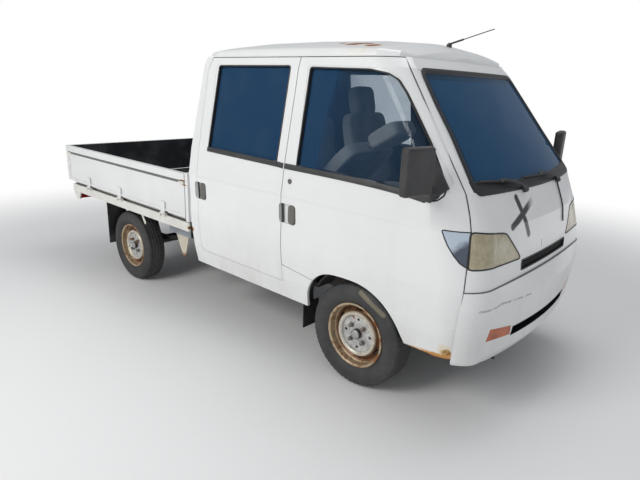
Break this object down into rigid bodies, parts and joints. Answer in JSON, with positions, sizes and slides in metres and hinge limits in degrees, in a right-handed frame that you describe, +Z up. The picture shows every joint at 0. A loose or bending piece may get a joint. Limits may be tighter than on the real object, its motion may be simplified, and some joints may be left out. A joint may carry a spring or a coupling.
{
  "type": "kei truck",
  "caption": "Cab-forward mini truck with a four-door cab, hinged doors, steered front wheels and a flat bed with drop-down side gates and tailgate.",
  "frame": {"origin": "on the ground, on the centre line, below the middle of the truck's length", "axes": "-Y is the truck's front, -X its right side, +Z up; wheels stand on z = 0"},
  "size_m": [1.831, 3.9744, 1.8188],
  "materials": {
    "white_paint": "worn white enamel with rust at the edges",
    "window_glass": "clear, lightly dusty",
    "clear_lens": "clear moulded lens, slightly blue",
    "clouded_lens": "yellowed and clouded",
    "amber_lens": "amber lens",
    "red_lens": "red lens",
    "tyre_rubber": "worn black rubber",
    "wheel_paint": "faded silver with a rusted flange",
    "rubber_black": "matte black",
    "dark_plastic": "grained dark grey",
    "seat_cloth": "light grey cloth",
    "engine_metal": "dull",
    "plate_blank": "blank",
    "bed_paint": "dark worn paint",
    "chassis_paint": "black paint with dirt"
  },
  "bodies": {
    "truck": {"antenna": "dark_plastic", "bed_crossmembers": "chassis_paint", "bed_floor": "bed_paint", "cab_floor": "white_paint", "dashboard": "dark_plastic", "driveline": "chassis_paint", "engine_block": "engine_metal", "exhaust": "chassis_paint", "frame_crossmembers": "chassis_paint", "frame_rails": "chassis_paint", "front_bumper": "white_paint", "front_indicators": "amber_lens", "front_seats": "seat_cloth", "front_suspension": "chassis_paint", "fuel_tank": "chassis_paint", "headboard": "white_paint", "headlamps": "clouded_lens", "leaf_springs": "chassis_paint", "mud_flaps": "rubber_black", "nose_panel": "white_paint", "rear_axle": "chassis_paint", "rear_bench": "seat_cloth", "rear_dampers": "chassis_paint", "rear_plate": "plate_blank", "rear_wall": "white_paint", "rear_window": "window_glass", "roof_panel": "white_paint", "side_frames": "white_paint", "spare_wheel": "tyre_rubber", "steering_column": "dark_plastic", "tail_lamps": "red_lens", "windshield": "window_glass"},
    "front_door_left": {"door_front_left": "white_paint", "glass_front_left": "window_glass", "corner_lamp_left": "clear_lens", "mirror_left": "dark_plastic"},
    "rear_door_left": {"door_rear_left": "white_paint", "glass_rear_left": "window_glass"},
    "bed_gate_left": {"side_gate_left": "white_paint"},
    "steering_knuckle_left": {"knuckle_left": "chassis_paint"},
    "wheel_front_left": {"rim_front_left": "wheel_paint", "tyre_front_left": "tyre_rubber"},
    "wheel_rear_left": {"rim_rear_left": "wheel_paint", "tyre_rear_left": "tyre_rubber"},
    "front_door_right": {"door_front_right": "white_paint", "glass_front_right": "window_glass", "corner_lamp_right": "clear_lens", "mirror_right": "dark_plastic"},
    "rear_door_right": {"door_rear_right": "white_paint", "glass_rear_right": "window_glass"},
    "bed_gate_right": {"side_gate_right": "white_paint"},
    "steering_knuckle_right": {"knuckle_right": "chassis_paint"},
    "wheel_front_right": {"rim_front_right": "wheel_paint", "tyre_front_right": "tyre_rubber"},
    "wheel_rear_right": {"rim_rear_right": "wheel_paint", "tyre_rear_right": "tyre_rubber"},
    "bed_tailgate": {"tailgate": "white_paint"},
    "hand_wheel": {"steering_wheel": "dark_plastic"},
    "steering_rods": {"tie_rods": "chassis_paint"}
  },
  "joints": [
    {"name": "steer_right", "type": "hinge", "parent": "truck", "child": "steering_knuckle_right", "pos_m": [-0.6, -1.27365, 0.16504], "axis": [0.2839, -0.0261, 0.9585], "range_deg": [-34, 34]},
    {"name": "steer_left", "type": "hinge", "parent": "truck", "child": "steering_knuckle_left", "pos_m": [0.6, -1.27365, 0.16504], "axis": [-0.2839, -0.0261, 0.9585], "range_deg": [-34, 34]},
    {"name": "spin_front_right", "type": "hinge", "parent": "steering_knuckle_right", "child": "wheel_front_right", "pos_m": [-0.64, -1.27672, 0.278], "axis": [1, 0, 0], "continuous": true},
    {"name": "spin_rear_right", "type": "hinge", "parent": "truck", "child": "wheel_rear_right", "pos_m": [-0.62, 1.02028, 0.278], "axis": [1, 0, 0], "continuous": true},
    {"name": "spin_front_left", "type": "hinge", "parent": "steering_knuckle_left", "child": "wheel_front_left", "pos_m": [0.64, -1.27672, 0.278], "axis": [1, 0, 0], "continuous": true},
    {"name": "spin_rear_left", "type": "hinge", "parent": "truck", "child": "wheel_rear_left", "pos_m": [0.62, 1.02028, 0.278], "axis": [1, 0, 0], "continuous": true},
    {"name": "turn_hand_wheel", "type": "hinge", "parent": "truck", "child": "hand_wheel", "pos_m": [0.31, -1.46273, 1.04722], "axis": [0, 0.594, 0.8045], "range_deg": [-544, 544]},
    {"name": "slide_rods", "type": "slide", "parent": "truck", "child": "steering_rods", "axis": [1, 0, 0], "range_m": [-0.0645, 0.0645]},
    {"name": "open_front_door_right", "type": "hinge", "parent": "truck", "child": "front_door_right", "pos_m": [-0.703, -1.85972, 0.78432], "axis": [0, -0.0272, 0.9996], "range_deg": [0, 65]},
    {"name": "open_rear_door_right", "type": "hinge", "parent": "truck", "child": "rear_door_right", "pos_m": [-0.742, -0.76813, 0.81405], "axis": [0, -0.0272, 0.9996], "range_deg": [0, 65]},
    {"name": "drop_side_gate_right", "type": "hinge", "parent": "truck", "child": "bed_gate_right", "pos_m": [-0.748, 1.01344, 0.67049], "axis": [0, 0.9996, 0.0272], "range_deg": [-175, 0]},
    {"name": "open_front_door_left", "type": "hinge", "parent": "truck", "child": "front_door_left", "pos_m": [0.703, -1.85972, 0.78432], "axis": [0, -0.0272, 0.9996], "range_deg": [-65, 0]},
    {"name": "open_rear_door_left", "type": "hinge", "parent": "truck", "child": "rear_door_left", "pos_m": [0.742, -0.76813, 0.81405], "axis": [0, -0.0272, 0.9996], "range_deg": [-65, 0]},
    {"name": "drop_side_gate_left", "type": "hinge", "parent": "truck", "child": "bed_gate_left", "pos_m": [0.748, 1.01344, 0.67049], "axis": [0, 0.9996, 0.0272], "range_deg": [0, 175]},
    {"name": "drop_tailgate", "type": "hinge", "parent": "truck", "child": "bed_tailgate", "pos_m": [0, 1.97908, 0.69679], "axis": [-1, 0, 0], "range_deg": [0, 175]}
  ],
  "couplings": [
    {"joint": "steer_left", "follows": "steer_right", "ratio": 1},
    {"joint": "turn_hand_wheel", "follows": "steer_right", "ratio": 16},
    {"joint": "slide_rods", "follows": "steer_right", "m_per_rad": -0.108}
  ]
}
